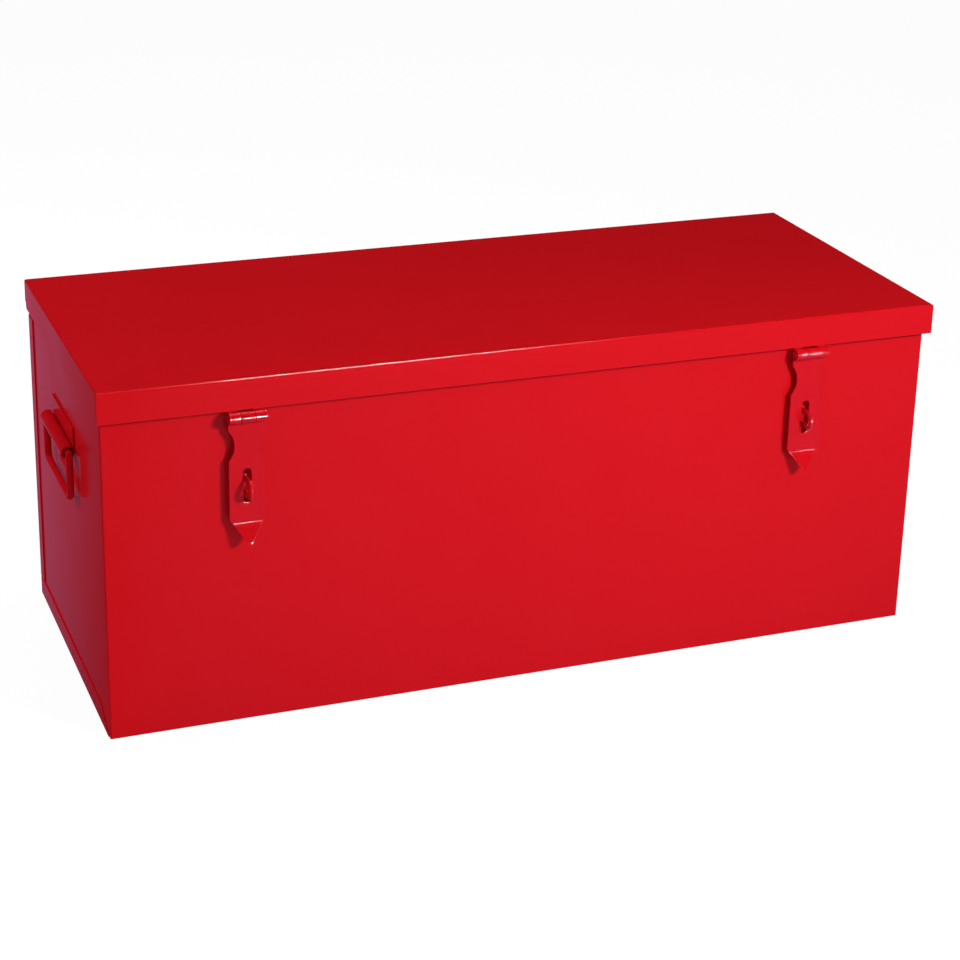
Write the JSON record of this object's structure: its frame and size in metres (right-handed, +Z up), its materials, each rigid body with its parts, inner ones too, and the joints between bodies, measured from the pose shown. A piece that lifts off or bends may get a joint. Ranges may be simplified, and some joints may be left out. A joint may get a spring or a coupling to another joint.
{
  "type": "jobsite box",
  "caption": "Long steel tool box with a folded sheet body, flat hinged lid, front hasps with padlock eyes, drop handles on the ends and a sliding lid stay.",
  "frame": {"origin": "centre of the base, on the surface that the box stands on", "axes": "+X along the length to the right seen from the front, +Y to the back, +Z up"},
  "size_m": [0.8568, 0.3635, 0.345],
  "materials": {
    "painted_sheet": "glossy red enamel on folded steel sheet",
    "painted_fittings": "the same red enamel, sprayed over the fitted hasps, handles and hinges"
  },
  "bodies": {
    "box": {"front_and_ends": "painted_sheet", "back_and_floor": "painted_sheet", "staple_plate_left": "painted_fittings", "staple_eye_left": "painted_fittings", "handle_plate_left": "painted_fittings", "rear_hinge_body_leaf_left": "painted_fittings", "rear_hinge_pin_left": "painted_fittings", "staple_plate_right": "painted_fittings", "staple_eye_right": "painted_fittings", "handle_plate_right": "painted_fittings", "rear_hinge_body_leaf_right": "painted_fittings", "rear_hinge_pin_right": "painted_fittings", "lid_stay_stud": "painted_fittings"},
    "lid": {"lid": "painted_sheet", "lid_stay_bracket": "painted_fittings", "lid_stay_rivet": "painted_fittings", "hasp_leaf_left": "painted_fittings", "hasp_pin_left": "painted_fittings", "rear_hinge_lid_leaf_left": "painted_fittings", "hasp_leaf_right": "painted_fittings", "hasp_pin_right": "painted_fittings", "rear_hinge_lid_leaf_right": "painted_fittings"},
    "hasp_left": {"hasp_strap_left": "painted_fittings"},
    "hasp_right": {"hasp_strap_right": "painted_fittings"},
    "handle_left": {"handle_bail_left": "painted_fittings"},
    "handle_right": {"handle_bail_right": "painted_fittings"},
    "lid_stay": {"lid_stay_arm": "painted_fittings"}
  },
  "joints": [
    {"name": "lid_open", "type": "hinge", "parent": "box", "child": "lid", "pos_m": [0, 0.1695, 0.3135], "axis": [-1, 0, 0], "range_deg": [0, 100]},
    {"name": "stay_slide_and_turn", "type": "hinge", "parent": "lid", "child": "lid_stay", "pos_m": [0.40985, 0.04996, 0.32396], "axis": [-1, 0, 0], "range_deg": [-50, 0]},
    {"name": "hasp_left_swing", "type": "hinge", "parent": "lid", "child": "hasp_left", "pos_m": [-0.2835, -0.1768, 0.3085], "axis": [-1, 0, 0], "range_deg": [0, 185]},
    {"name": "hasp_right_swing", "type": "hinge", "parent": "lid", "child": "hasp_right", "pos_m": [0.2835, -0.1768, 0.3085], "axis": [-1, 0, 0], "range_deg": [0, 185]},
    {"name": "handle_left_swing", "type": "hinge", "parent": "box", "child": "handle_left", "pos_m": [-0.4217, 0, 0.242], "axis": [0, 1, 0], "range_deg": [0, 180]},
    {"name": "handle_right_swing", "type": "hinge", "parent": "box", "child": "handle_right", "pos_m": [0.4217, 0, 0.242], "axis": [0, -1, 0], "range_deg": [0, 180]}
  ],
  "couplings": [
    {"joint": "stay_slide_and_turn", "follows": "lid_open", "ratio": -0.5}
  ]
}
